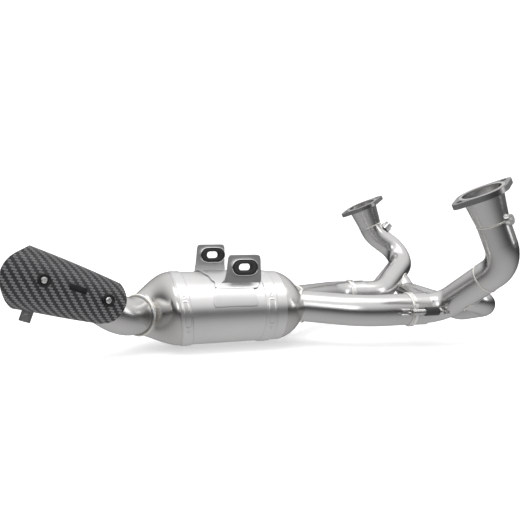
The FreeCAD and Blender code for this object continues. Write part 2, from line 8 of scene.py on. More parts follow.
# %% Load the frame
import bmesh
import bpy
import json
import math
import numpy as np
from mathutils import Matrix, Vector


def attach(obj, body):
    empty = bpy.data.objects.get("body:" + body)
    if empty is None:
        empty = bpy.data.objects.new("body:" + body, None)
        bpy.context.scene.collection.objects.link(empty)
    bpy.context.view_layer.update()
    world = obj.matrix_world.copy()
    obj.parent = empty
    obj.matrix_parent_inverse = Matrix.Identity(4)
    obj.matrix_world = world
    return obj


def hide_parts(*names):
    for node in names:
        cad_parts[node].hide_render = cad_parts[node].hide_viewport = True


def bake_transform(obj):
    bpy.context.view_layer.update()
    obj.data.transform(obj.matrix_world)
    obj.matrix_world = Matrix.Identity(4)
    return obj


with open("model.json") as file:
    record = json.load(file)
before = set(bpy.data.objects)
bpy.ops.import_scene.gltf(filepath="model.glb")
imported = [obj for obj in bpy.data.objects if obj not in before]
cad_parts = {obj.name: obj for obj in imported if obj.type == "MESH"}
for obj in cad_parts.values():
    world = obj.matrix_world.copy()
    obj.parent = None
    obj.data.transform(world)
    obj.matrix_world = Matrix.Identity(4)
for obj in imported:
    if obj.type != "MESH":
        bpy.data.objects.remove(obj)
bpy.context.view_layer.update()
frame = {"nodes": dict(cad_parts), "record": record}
MM = 0.001


# %% [markdown]
# ## Surfaces from numbers
# A skin is a grid of points: one parameter runs round it, the other along it. Numpy works out the
# whole grid at once, and one helper turns any grid into a mesh. A grid can close on itself in
# either direction, and its poles close when points that coincide are merged.

# %% Grid helper
def grid_faces(rows, columns, close_rows, close_columns):
    """Quads between neighbours of a grid: the index of a point is its row times columns plus its
    column."""
    r = np.arange(rows if close_rows else rows - 1)[:, None]
    c = np.arange(columns if close_columns else columns - 1)[None, :]
    r1, c1 = (r + 1) % rows, (c + 1) % columns
    quads = np.stack([r * columns + c, r * columns + c1, r1 * columns + c1, r1 * columns + c], -1)
    return quads.reshape(-1, 4)


def skin(name, points, paint, close_rows=False, close_columns=True, pattern=None, outward=True):
    """A smooth mesh from a grid of points, rows x columns x 3. pattern is a grid of (u, v) kept as
    a UV map."""
    rows, columns = points.shape[:2]
    quads = grid_faces(rows, columns, close_rows, close_columns)
    mesh = bpy.data.meshes.new(name)
    mesh.from_pydata(points.reshape(-1, 3).tolist(), [], quads.tolist())
    if pattern is not None:
        layer = mesh.uv_layers.new(name="pattern")
        flat = pattern.reshape(-1, 2)[quads.reshape(-1)]
        layer.data.foreach_set("uv", flat.astype(np.float32).reshape(-1))
    tidy_mesh(mesh, outward)
    mesh.materials.append(paint)
    piece = bpy.data.objects.new(name, mesh)
    bpy.context.collection.objects.link(piece)
    print(f"{name}: {len(mesh.polygons)} faces")
    return piece


def tidy_mesh(mesh, outward=True):
    """Merges points that coincide, drops faces with no area, and turns the faces of a closed skin
    outwards."""
    work = bmesh.new()
    work.from_mesh(mesh)
    bmesh.ops.remove_doubles(work, verts=work.verts, dist=1e-6)
    bmesh.ops.dissolve_degenerate(work, edges=work.edges, dist=1e-7)
    if outward:
        bmesh.ops.recalc_face_normals(work, faces=work.faces)
    work.to_mesh(mesh)
    work.free()
    mesh.polygons.foreach_set("use_smooth", np.ones(len(mesh.polygons), bool))


# %% [markdown]
# ## Directions
# Every turned piece has an axis. Three unit vectors, one along the axis and two across it, are all
# that a ring, a bead or a washer needs to find its place.

# %% Axes and turned skins
def unit(v):
    v = np.asarray(v, float)
    return v / np.linalg.norm(v)


def across(direction, side=(0, 0, 1)):
    """Two unit vectors square to direction, the first as near to side as it can be."""
    d = unit(direction)
    a = unit(np.asarray(side, float) - d * np.dot(side, d))
    return a, np.cross(d, a)


def turned(name, profile, centre, direction, paint, steps=64, ripple=None):
    """A lathe-turned skin: a profile of (radius, along) points carried round an axis. ripple is
    (height, count): a cosine of that many waves round the axis is added to the radius."""
    profile = np.asarray(profile, float)
    turn = np.linspace(0, 2 * math.pi, steps, endpoint=False)
    a, b = across(direction)
    radius = profile[:, 0][:, None] + np.zeros_like(turn)[None, :]
    if ripple:
        weight = (profile[:, 0] - profile[:, 0].min()) / np.ptp(profile[:, 0])
        radius = radius + ripple[0] * weight[:, None] * np.cos(ripple[1] * turn)[None, :]
    ring = np.cos(turn)[:, None] * a + np.sin(turn)[:, None] * b
    points = radius[:, :, None] * ring[None] + profile[:, 1][:, None, None] * unit(direction)
    return skin(name, points + np.asarray(centre, float), paint, close_rows=True)


def round_section(radius, half_width, half_height, steps=12):
    """A closed oval profile at that radius: cosine outwards, sine along the axis."""
    t = np.linspace(0, 2 * math.pi, steps, endpoint=False)
    return np.stack([radius + half_height * np.cos(t), half_width * np.sin(t)], -1)


# %% [markdown]
# ## Shader maths as plain expressions
# Finishes vary over a surface: a brushed sheet is a little rougher here than there. The class below
# wraps a node's output, so that `rough + 0.1 * cloud` adds the Math nodes by itself.

# %% Paint helpers
class Field:
    """A number that varies over a surface. Python's operators on it add Math nodes."""

    def __init__(self, paint, socket):
        self.paint, self.socket = paint, socket

    def maths(self, operation, *inputs):
        return self.paint.node("ShaderNodeMath", {"operation": operation}, dict(enumerate(inputs)))

    def __add__(self, other):
        return self.maths("ADD", self, other)

    def __radd__(self, other):
        return self.maths("ADD", other, self)

    def __sub__(self, other):
        return self.maths("SUBTRACT", self, other)

    def __rsub__(self, other):
        return self.maths("SUBTRACT", other, self)

    def __mul__(self, other):
        return self.maths("MULTIPLY", self, other)

    def __rmul__(self, other):
        return self.maths("MULTIPLY", other, self)

    def __truediv__(self, other):
        return self.maths("DIVIDE", self, other)

    def floor(self):
        return self.maths("FLOOR", self)

    def over(self, edge):
        """1 where the number is over edge, else 0."""
        return self.maths("GREATER_THAN", self, edge)


class Paint:
    def __init__(self, name):
        self.material = bpy.data.materials.new(name)
        self.material.use_nodes = True
        self.tree = self.material.node_tree
        self.shader = self.tree.nodes["Principled BSDF"]

    def node(self, kind, settings, inputs, output=0):
        made = self.tree.nodes.new(kind)
        for key, value in settings.items():
            if key == "stops":
                for element, (place, colour) in zip(ramp_stops(made, len(value)), value):
                    element.position, element.color = place, (*colour, 1.0)
            else:
                setattr(made, key, value)
        for key, value in inputs.items():
            self.feed(made.inputs[key], value)
        return Field(self, made.outputs[output])

    def feed(self, socket, value):
        if isinstance(value, Field):
            self.tree.links.new(value.socket, socket)
        else:
            socket.default_value = value

    def place(self):
        return self.node("ShaderNodeTexCoord", {}, {}, "Object")

    def stretched(self, vector, scale):
        return self.node("ShaderNodeMapping", {}, {"Vector": vector, "Scale": scale})

    def noise(self, vector, scale, detail=3.0, rough=0.5):
        return self.node("ShaderNodeTexNoise", {}, {"Vector": vector, "Scale": scale, "Detail": detail,
                                                    "Roughness": rough})

    def blend(self, share, low, high):
        """A colour between low and high, by share."""
        return self.node("ShaderNodeMix", {"data_type": "RGBA"},
                         {"Factor": share, 6: (*low, 1.0) if isinstance(low, tuple) else low,
                          7: (*high, 1.0) if isinstance(high, tuple) else high}, 2)

    def bump(self, height, strength, distance):
        return self.node("ShaderNodeBump", {}, {"Height": height, "Strength": strength,
                                                "Distance": distance})

    def finish(self, **sockets):
        for key, value in sockets.items():
            self.feed(self.shader.inputs[key.replace("_", " ")], value)
        return self.material


def ramp_stops(ramp, count):
    """The ramp's elements, with new ones added until there are count."""
    elements = ramp.color_ramp.elements
    while len(elements) < count:
        elements.new(0.5)
    return elements


# %% [markdown]
# ## Bare metal
# The tubes are thin drawn sheet, blasted to a satin: no grain has one direction, but the sheen
# drifts over a hand's width and there are fine scuffs. The can's sheet is brushed, so its noise is
# stretched. One function mixes both.

# %% Metals
def metal(name, tone, rough, grain=(1, 1, 1), drift=0.05, brushed=0.06, relief=0.00001):
    """Satin metal: tone and roughness drift with a broad noise, and a fine noise, stretched by
    grain, marks it."""
    p = Paint(name)
    place = p.place()
    cloud = p.noise(place, 14.0, 2.0, 0.45)
    fine = p.noise(p.stretched(place, grain), 1100.0, 3.0, 0.6)
    scuff = p.noise(place, 90.0, 4.0, 0.6)
    share = 0.6 * cloud + 0.2 * fine + 0.2 * scuff
    dark = tuple(c * 0.88 for c in tone)
    light = tuple(min(c * 1.10, 1.0) for c in tone)
    return p.finish(Base_Color=p.blend(share, dark, light), Metallic=1.0,
                    Roughness=rough + drift * (cloud - 0.5) + brushed * (fine - 0.5) + 0.04 * (scuff - 0.5),
                    Normal=p.bump(fine, 0.08, relief))


satin_tube = metal("satin drawn tube", (0.62, 0.615, 0.61), 0.25)
can_sheet = metal("brushed can sheet", (0.74, 0.735, 0.73), 0.36, grain=(1, 0.06, 0.06), brushed=0.12)
cone_sheet = metal("pressed cone sheet", (0.60, 0.59, 0.58), 0.25)
bracket_sheet = metal("blasted bracket sheet", (0.66, 0.66, 0.66), 0.40, brushed=0.10)
bright_metal = metal("turned bright metal", (0.86, 0.86, 0.85), 0.20)
# The flange's tone is painted dark. It stands in for the shade on its upper faces and inside it, not for the
# metal's own colour.
shade_darkened_flange_metal = metal("machined flange darkened for shade", (0.30, 0.30, 0.30), 0.28, brushed=0.10)
spring_wire = metal("drawn spring wire", (0.72, 0.72, 0.71), 0.22)
stainless = metal("stainless fastener", (0.80, 0.80, 0.79), 0.18)
core_sheet = metal("perforated core sheet", (0.42, 0.40, 0.38), 0.45)


# %% [markdown]
# ## Weld beads
# A hand-fed bead is a row of overlapping scales, brighter than the sheet beside it and faintly
# straw and blue where the heat was. Its scales are real geometry here; the tint comes from a noise
# through a colour ramp.

# %% Bead finish
def weld_finish():
    p = Paint("weld bead")
    heat = p.noise(p.place(), 60.0, 2.0)
    tint = p.node("ShaderNodeValToRGB", {"stops": [(0.30, (0.80, 0.80, 0.79)), (0.52, (0.86, 0.83, 0.77)),
                                                   (0.72, (0.70, 0.72, 0.78))]}, {"Fac": heat})
    pit = p.noise(p.place(), 1500.0, 3.0)
    return p.finish(Base_Color=tint, Metallic=1.0, Roughness=0.20 + 0.12 * pit,
                    Normal=p.bump(pit, 0.3, 0.00003))


weld = weld_finish()


# %% [markdown]
# ## Rubber, black parts and glass fibre
# Moulded rubber is dull with a fine pebble. The washers and the plain name plate are black with a
# gloss. The packing inside the can is wound glass fibre, seen only if the can is cut open.

# %% Dark finishes
def rubber_finish(name, tone, rough):
    p = Paint(name)
    pebble = p.noise(p.place(), 700.0, 4.0, 0.6)
    dust = p.noise(p.place(), 90.0, 3.0)
    return p.finish(Base_Color=p.blend(dust, (tone * 0.6,) * 3, (tone * 1.7,) * 3),
                    Roughness=rough + 0.18 * (dust - 0.5), Normal=p.bump(pebble, 0.5, 0.00008))


def gloss_black_finish(name, rough):
    p = Paint(name)
    mottle = p.noise(p.place(), 240.0, 4.0)
    return p.finish(Base_Color=p.blend(mottle, (0.003, 0.003, 0.0035), (0.008, 0.008, 0.009)),
                    Roughness=rough + 0.1 * (mottle - 0.5), Specular_IOR_Level=0.2, Coat_Weight=0.25,
                    Coat_Roughness=0.1)


def packing_finish():
    p = Paint("glass packing")
    strand = p.noise(p.stretched(p.place(), (0.2, 1, 1)), 500.0, 6.0, 0.7)
    return p.finish(Base_Color=p.blend(strand, (0.55, 0.50, 0.38), (0.86, 0.84, 0.74)), Roughness=0.9,
                    Normal=p.bump(strand, 0.8, 0.0004))


bush_rubber = rubber_finish("bush rubber", 0.016, 0.62)
cover_rubber = rubber_finish("spring cover rubber", 0.022, 0.55)
washer_black = gloss_black_finish("black washer", 0.30)
plate_black = gloss_black_finish("plain black plate", 0.16)
glass_packing = packing_finish()


# %% [markdown]
# ## Twill carbon
# The laminate is a two-by-two twill: each tow goes over two and under two, one step further along
# in each row, which draws the diagonal ribs. Position along the tail and round it is kept as a UV
# map in tow widths, so floor() gives the tow's number, and the remainder of their difference by
# four says which tow lies on top. The tows that run lengthways are painted lighter, most of all
# along their crowns: a painted sheen of the fibres. Lacquer is a coat.

# %% Carbon finish
TWILL_REPEAT = 4.0   # tows until the weave repeats
TWILL_SPLIT = 0.45   # parts the remainders 0 and 1/4 from 1/2 and 3/4


def carbon_finish():
    p = Paint("twill carbon")
    uv = p.node("ShaderNodeUVMap", {"uv_map": "pattern"}, {})
    u = p.node("ShaderNodeSeparateXYZ", {}, {0: uv}, 0)
    v = p.node("ShaderNodeSeparateXYZ", {}, {0: uv}, 1)
    step = (u.floor() - v.floor()) / TWILL_REPEAT
    lengthways = (step - step.floor()).over(TWILL_SPLIT)
    side_u = u - u.floor() - 0.5
    side_v = v - v.floor() - 0.5
    round_u = 1.0 - 4.0 * (side_u * side_u)
    round_v = 1.0 - 4.0 * (side_v * side_v)
    crown = lengthways * round_v + (1.0 - lengthways) * round_u
    fibre_u = p.noise(p.stretched(uv, (0.25, 9.0, 1.0)), 1.6, 3.0)
    fibre_v = p.noise(p.stretched(uv, (9.0, 0.25, 1.0)), 1.6, 3.0)
    fibre = lengthways * fibre_u + (1.0 - lengthways) * fibre_v
    # Painted sheen: the tows that run lengthways are coloured lighter, most of all along each tow's crown.
    share = 0.70 * lengthways * crown + 0.16 * fibre + 0.06
    colour = p.blend(share, (0.002, 0.002, 0.0025), (0.17, 0.17, 0.175))
    return p.finish(Base_Color=colour, Roughness=0.46 - 0.10 * crown + 0.10 * fibre,
                    Specular_IOR_Level=0.1, Coat_Weight=0.3, Coat_Roughness=0.07,
                    Normal=p.bump(crown, 0.35, 0.00012))


carbon = carbon_finish()


# %% [markdown]
# ## Finishes for the CAD surfaces
# A CAD node whose shape is right only needs its finish. The record says which material slot each
# node takes, so one table from slot to finish dresses them all. The clamp's strap is then made
# duller and its bolt and nut brighter, so that they stand apart.

# %% Dress the CAD nodes
finishes = {"header_tube": satin_tube, "bright_ring": bright_metal, "flange_plate": shade_darkened_flange_metal,
            "spring_steel": spring_wire, "spring_rubber": cover_rubber, "can_skin": can_sheet,
            "cone_skin": cone_sheet, "core": core_sheet, "packing": glass_packing,
            "bracket_sheet": bracket_sheet, "bush_rubber": bush_rubber, "tail_tube": satin_tube,
            "carbon": carbon, "fastener": stainless, "washer_black": washer_black,
            "plate_black": plate_black}
for subpart in frame["record"]["subparts"]:
    node = frame["nodes"][subpart["node"]]
    node.data.materials.clear()
    node.data.materials.append(finishes[subpart["material_slot"]])
for name in ("clamp_bolt", "clamp_nut"):
    frame["nodes"][name].data.materials[0] = bright_metal
frame["nodes"]["clamp_band"].data.materials[0] = satin_tube


# %% [markdown]
# ## The places that repeat
# These values are the same as in the CAD model: where the ports, slip joints, can and tail lie, in
# millimetres. Each later piece is placed from them.

# %% Drawing values
PORT_TILT = math.radians(24.0)
PORT_NORMAL = np.array([-math.sin(PORT_TILT), 0.0, math.cos(PORT_TILT)])
PORTS = {"right": np.array([0.0, 0.0, 0.0]), "left": np.array([37.0, 476.0, -6.0])}
OUT = {"right": np.array([0.0, -1.0, 0.0]), "left": np.array([0.0, 1.0, 0.0])}
SLIP = {"right": np.array([0.0, 115.0, -186.0]), "left": np.array([0.0, 345.0, -186.0])}
HEADER_R, LINK_R = 23.8, 25.4
CAN = np.array([0.0, 195.0, -181.0])
CAN_HALF = np.array([80.0, 57.5])
CAN_REAR, CAN_FRONT = -421.0, -256.0
CAN_LEAN = math.tan(math.radians(7.0))
FRONT_TAPER = 0.97
TAIL_FOOT = np.array([-503.0, 144.0, -169.5])
TAIL_WAY = unit(np.array([-649.9, 136.7, -117.6]) - TAIL_FOOT)
TAIL_OUT = unit(np.array([0.0, -1.0, 0.0]) + TAIL_WAY * TAIL_WAY[1])
TAIL_UP = np.cross(TAIL_WAY, TAIL_OUT)


def on_tail(along, turn, radius):
    """Points on the tail: along its axis, turned up from its right side, radius from the axis;
    arrays allowed."""
    along, turn, radius = (np.asarray(x, float)[..., None] for x in (along, turn, radius))
    return TAIL_FOOT + TAIL_WAY * along + (TAIL_OUT * np.cos(turn) + TAIL_UP * np.sin(turn)) * radius


# %% [markdown]
# ## The carbon shield
# The shield is a half shell with a rounded front and a D-shaped rear edge. Its outline is a closed
# curve in the plane of (along, up); each point of it is wrapped onto the shell as an angle. The
# skin is a disc: rings from the middle of the shell out to that outline. Solidify then gives the
# laminate its thickness and Bevel breaks its edge.

# %% Shield skin
SHIELD_CURVE = (-0.00028125, 0.14125, 31.49)
SHIELD_OUTLINE = np.array([(0, 6), (3, 20), (13, 32), (34, 44), (80, 52), (118, 57), (139, 53), (154, 41),
                           (167, 26), (172, 9), (169, -8), (161, -24), (150, -38), (132, -50), (100, -54),
                           (60, -48), (30, -38), (14, -27), (4, -11)], float)
SHIELD_WALL = 1.6
UPPER_EDGE, LOWER_EDGE = 6.0, 14.0
TOW_WIDTH = 3.4
SHIELD_MIDDLE, SHIELD_RINGS = 88.0, 46
CREASE_DEPTH, CREASE_TURN, CREASE_WIDTH = 1.3, 0.62, 0.12   # a step in the lower part; angles in radians
CREASE_END, CREASE_FADE = 150.0, 30.0                       # where along the tail the step fades out
PATTERN_SHIFT = 200.0                                       # tow widths, so that the numbers are all above zero


def smooth_loop(corners, per_span):
    """A closed curve through the corners: on each span, a cubic whose slopes come from the
    neighbours on each side."""
    t = np.linspace(0, 1, per_span, endpoint=False)[None, :, None]
    p0, p1, p2, p3 = (np.roll(corners, k, axis=0)[:, None, :] for k in (1, 0, -1, -2))
    curve = 0.5 * (2 * p1 + (p2 - p0) * t + (2 * p0 - 5 * p1 + 4 * p2 - p3) * t ** 2
                   + (3 * p1 - p0 - 3 * p2 + p3) * t ** 3)
    return curve.reshape(-1, 2)


def shield_radius(along):
    """Outside radius: a constant, plus a slope times along, less a little of along squared."""
    return np.polyval(SHIELD_CURVE, along)


def shield_skin():
    """Disc mapping: s from 0 in the middle to 1 at the outline, in (along, angle), then onto the
    turned shell."""
    edge = smooth_loop(SHIELD_OUTLINE, 16)
    share = np.clip(edge[:, 1] / shield_radius(edge[:, 0]), -1, 1)
    reach = shield_radius(edge[:, 0])
    turn_edge = np.clip(np.arcsin(share), -np.arccos(LOWER_EDGE / reach), np.arccos(UPPER_EDGE / reach))
    s = np.linspace(0, 1, SHIELD_RINGS)[:, None]
    along = SHIELD_MIDDLE + (edge[None, :, 0] - SHIELD_MIDDLE) * s
    turn = turn_edge[None, :] * s
    crease = (CREASE_DEPTH * np.clip((-turn - CREASE_TURN) / CREASE_WIDTH, 0, 1)
              * np.clip((CREASE_END - along) / CREASE_FADE, 0, 1))
    radius = shield_radius(along) - crease
    points = on_tail(along, turn, radius) * MM
    pattern = np.stack([along, radius * turn], -1) / TOW_WIDTH
    return skin("heat_shield_skin", points, carbon, pattern=pattern + PATTERN_SHIFT, outward=False)


def face_towards(piece, direction):
    """Turns an open skin so that most of it faces direction."""
    normals = np.empty(len(piece.data.polygons) * 3, np.float32)
    piece.data.polygons.foreach_get("normal", normals)
    if (normals.reshape(-1, 3) @ np.asarray(direction)).sum() < 0:
        piece.data.flip_normals()


def thicken(piece, thickness, edge=0.0, segments=2):
    """Gives an open skin a wall behind it, and breaks its sharp edges."""
    wall = piece.modifiers.new("wall", "SOLIDIFY")
    wall.thickness, wall.offset, wall.use_even_offset = thickness * MM, -1.0, False
    if edge:
        bevel = piece.modifiers.new("edge", "BEVEL")
        bevel.width, bevel.segments, bevel.limit_method = edge * MM, segments, "ANGLE"
        bevel.angle_limit = math.radians(50)
        bevel.use_clamp_overlap = True


shield = shield_skin()
face_towards(shield, TAIL_OUT)
thicken(shield, SHIELD_WALL, 0.5)
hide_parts("heat_shield")
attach(shield, "silencer")


# %% [markdown]
# ## Dished washers
# Each button-head screw sits in a black washer dished like a saucer: the profile climbs to a rim
# and drops to the screw's seat. It is turned on a lathe, so it is a profile carried round the
# screw's axis.

# %% Washers
SCREWS = (26.0, 116.0)
SCREW_TURN = math.radians(12.0)
WASHER = [(2.7, -0.3), (8.6, -0.3), (9.1, 0.4), (8.9, 1.6), (8.0, 2.6), (7.2, 2.6), (6.0, 1.5), (5.0, 1.1),
          (2.7, 1.0)]
for where, along in zip(("front", "rear"), SCREWS):
    slope = 2 * SHIELD_CURVE[0] * along + SHIELD_CURVE[1]
    screw_way = TAIL_OUT * math.cos(SCREW_TURN) + TAIL_UP * math.sin(SCREW_TURN) - TAIL_WAY * slope
    base = on_tail(along, SCREW_TURN, shield_radius(along))
    washer = turned("shield_washer_" + where, np.array(WASHER) * MM, base * MM, screw_way, washer_black, 48)
    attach(washer, "silencer")
    if where == "front":
        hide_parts("shield_washers")


# %% [markdown]
# ## Retaining springs
# Each slip joint is pulled together by a spring between two wire staples. A coil is a helix: along
# the axis by an even step, and round it by cosine and sine. The wire's round section is carried
# along that path, square to the axis on one side, and the hooks at its ends are half circles round
# the staples.

# %% Wire along a path
def wire(name, path, radius, side, paint, steps=8):
    """A round section carried along a path of points. side is a vector that the path never runs
    along."""
    tangent = np.gradient(path, axis=0)
    tangent /= np.linalg.norm(tangent, axis=1, keepdims=True)
    a = np.cross(tangent, np.asarray(side, float))
    a /= np.linalg.norm(a, axis=1, keepdims=True)
    b = np.cross(tangent, a)
    t = np.linspace(0, 2 * math.pi, steps, endpoint=False)
    ring = np.cos(t)[None, :, None] * a[:, None] + np.sin(t)[None, :, None] * b[:, None]
    cap = np.array([1e-4] + [1.0] * len(path) + [1e-4])
    full = np.concatenate([path[:1], path, path[-1:]])
    rings = np.concatenate([ring[:1], ring, ring[-1:]])
    return skin(name, (full[:, None] + rings * radius * cap[:, None, None]) * MM, paint)


COIL_R, WIRE_R, COIL_TURNS, COIL_STEPS = 3.7, 0.9, 25, 22
COIL_REAR, COIL_FRONT = -61.5, -10.0
BAR_REAR, BAR_FRONT = -67.0, -5.0
SPRING_OFFSET, HOOK_R = 33.0, 2.6


def coil_path(centre):
    """A helix about X: as t runs from 0 to 1, x goes from rear to front while the angle makes every
    turn."""
    t = np.linspace(0, 1, COIL_TURNS * COIL_STEPS + 1)
    angle = 2 * math.pi * COIL_TURNS * t
    x = COIL_REAR + (COIL_FRONT - COIL_REAR) * t
    return np.stack([x, centre[1] + COIL_R * np.cos(angle), centre[2] + COIL_R * np.sin(angle)], -1)


def hook_path(centre, bar_x, coil_x):
    """From the coil's end straight along X, then a half circle round the staple's bar and a short
    way back."""
    way = math.copysign(1.0, bar_x - coil_x)
    t = np.linspace(-math.pi / 2, math.pi / 2, 14)
    arc = np.stack([bar_x + way * HOOK_R * np.cos(t), centre[1] - HOOK_R * np.sin(t),
                    0 * t + centre[2]], -1)
    start = np.array([[coil_x - way * 0.8, centre[1] + HOOK_R, centre[2]]])
    tail_point = np.array([[bar_x - way * 1.8, centre[1] - HOOK_R, centre[2]]])
    return np.concatenate([start, arc, tail_point])


def stretch_with_slip(piece):
    """Bakes the piece's placement into its mesh."""
    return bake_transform(piece)


COVER = [(4.9, -12.0), (6.2, -12.0), (6.7, -11.4), (6.8, -10.6), (6.65, 0.0), (6.8, 10.6),
         (6.7, 11.4), (6.2, 12.0), (4.9, 12.0)]
for side in ("right", "left"):
    centre = SLIP[side] + OUT[side] * SPRING_OFFSET
    coil = wire("spring_coil_" + side, coil_path(centre), WIRE_R, (1, 0, 0), spring_wire)
    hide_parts("spring_" + side)
    hooks = [wire(f"spring_hook_{end}_{side}", hook_path(centre + OUT[side], bar, near), WIRE_R, (0, 0, 1),
                  spring_wire)
             for end, bar, near in (("rear", BAR_REAR, COIL_REAR), ("front", BAR_FRONT, COIL_FRONT))]
    cover = turned("spring_sleeve_" + side, np.array(COVER) * MM, (centre + (-28.0, 0, 0)) * MM, (1, 0, 0),
                   cover_rubber, 40)
    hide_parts("spring_cover_" + side)
    for piece in (coil, *hooks):
        stretch_with_slip(piece)
    stretch_with_slip(cover)


# %% [markdown]
# ## Beads round the seams
# Where two turned parts meet, the welder's bead is a ring with scales. Its section is an oval, and
# a cosine round the ring lifts and drops it once for each scale, about every two millimetres.

# %% Weld beads
def bead(name, centre, direction, radius, body, half_width=2.2, half_height=1.1, replaced=None):
    """A scaled weld ring of that radius, square to direction."""
    scales = int(2 * math.pi * radius / 2.0)
    piece = turned(name, round_section(radius, half_width, half_height, 10) * MM, np.asarray(centre) * MM,
                   direction, weld, scales * 5, ripple=(0.22 * MM, scales))
    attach(piece, body)
    if replaced:
        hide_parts(replaced)
    return piece


INLETS = {"right": (np.array([-214.0, 168.0, -181.0]), math.radians(32.0)),
          "left": (np.array([-204.0, 236.0, -181.0]), math.radians(-42.0))}
OUTLET = np.array([-476.0, 178.0, -187.0])
OUTLET_WAY = unit((-0.68, -0.733, 0.026))
for side in ("right", "left"):
    bead("bead_flare_" + side, PORTS[side] - PORT_NORMAL * 50.0, PORT_NORMAL, HEADER_R, "headers", 1.5, 0.5)
    mouth, turn = INLETS[side]
    bead("bead_inlet_" + side, mouth, (math.cos(turn), -math.sin(turn), 0), LINK_R + 0.6,
         "silencer", 2.6, 1.7, "inlet_ring_" + side)
    bead("bead_slip_" + side, SLIP[side] + (-53.0, 0, 0), (1, 0, 0), LINK_R + 0.3, "silencer")
bead("bead_outlet", OUTLET + OUTLET_WAY * 1.0, OUTLET_WAY, 30.4, "silencer", 3.0, 2.4, "outlet_ring")
KNEE = -PORT_NORMAL * 116.0
RUN_WAY = unit(np.array([10.0, 115.0, -186.0]) - KNEE)
bead("bead_header_run", KNEE + RUN_WAY * 46.0, RUN_WAY, HEADER_R, "headers", 1.8, 0.7)


# %% Seam where one tube runs into another
def joined_seam(name, start, way, radius, other_point, other_way, other_radius, count=240):
    """The curve where a tube leaves a bigger one: each line of the small tube is run out along its
    way until its distance to the big tube's axis is the big radius, which is a quadratic equation.
    A bead follows that curve."""
    turn = np.linspace(0, 2 * math.pi, count, endpoint=False)
    a, b = across(way)
    lines = np.asarray(start, float) + radius * (np.cos(turn)[:, None] * a + np.sin(turn)[:, None] * b)
    away = lines - np.asarray(other_point, float)
    flat = away - (away @ other_way)[:, None] * other_way
    step = unit(way) - other_way * np.dot(unit(way), other_way)
    half_b = flat @ step / (step @ step)
    c = ((flat ** 2).sum(1) - other_radius ** 2) / (step @ step)
    reach = -half_b + np.sqrt(np.maximum(half_b ** 2 - c, 0))
    path = lines + unit(way) * reach[:, None]
    tangent = np.roll(path, -1, 0) - np.roll(path, 1, 0)
    tangent /= np.linalg.norm(tangent, axis=1, keepdims=True)
    off = path - path.mean(0)
    off -= (off * tangent).sum(1, keepdims=True) * tangent
    off /= np.linalg.norm(off, axis=1, keepdims=True)
    other = np.cross(tangent, off)
    phase = np.linspace(0, 2 * math.pi, 10, endpoint=False)[None, :, None]
    size = 1.5 + 0.2 * np.cos(turn * 60)[:, None, None]
    points = path[:, None] + size * (np.cos(phase) * off[:, None] + np.sin(phase) * other[:, None])
    piece = skin(name, points * MM, weld, close_rows=True)
    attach(piece, "headers")


joined_seam("bead_crossover_left", (84, 412, -151), unit((8, -40, -37)), 19.0, (134, 452, -124),
            unit((-118, -107, -62)), HEADER_R)
joined_seam("bead_crossover_right", (22, 78, -165), unit((48, -12, -10)), 19.0, KNEE, RUN_WAY, HEADER_R)



# %% [markdown]
# ## The can's pressed bands
# A strap of pressed sheet covers each seam of the can. It is a strip round an ellipse: the strip's
# height above the can falls off at its two edges, and long rounded slots and small pierced marks
# are pressed into it. The height is a field over arc length and width, and the distance to a
# rounded rectangle draws each pressed outline.

# %% Ellipse round the can
def ellipse(turn, scale=1.0):
    """y and z on the can's section, the outward normal in y and z, all from the angle."""
    half = CAN_HALF * scale
    c, s = np.cos(turn), np.sin(turn)
    normal = np.stack([c / half[0], s / half[1]], -1)
    normal /= np.linalg.norm(normal, axis=-1, keepdims=True)
    return CAN[1] + half[0] * c, CAN[2] + half[1] * s, normal


def arc_length(turn):
    """Distance round the can's section from the first angle, summed step by step."""
    y, z, _ = ellipse(turn)
    return np.concatenate([[0], np.cumsum(np.hypot(np.diff(y), np.diff(z)))])


def rounded_box_distance(u, v, half_u, half_v, corner):
    """Distance to a rounded rectangle's outline, negative inside it."""
    du, dv = np.abs(u) - half_u + corner, np.abs(v) - half_v + corner
    outside = np.hypot(np.maximum(du, 0), np.maximum(dv, 0))
    return outside + np.minimum(np.maximum(du, dv), 0) - corner


def can_scale(x):
    return 1.0 - (1.0 - FRONT_TAPER) * (x - CAN_REAR) / (CAN_FRONT - CAN_REAR)


BAND_HEIGHT, BAND_EDGE = 1.25, 1.4
SLOT_HALF, MARK_AT, MARK_R = 20.0, 27.0, 2.6   # the long pressed slot, and the round marks beyond its ends


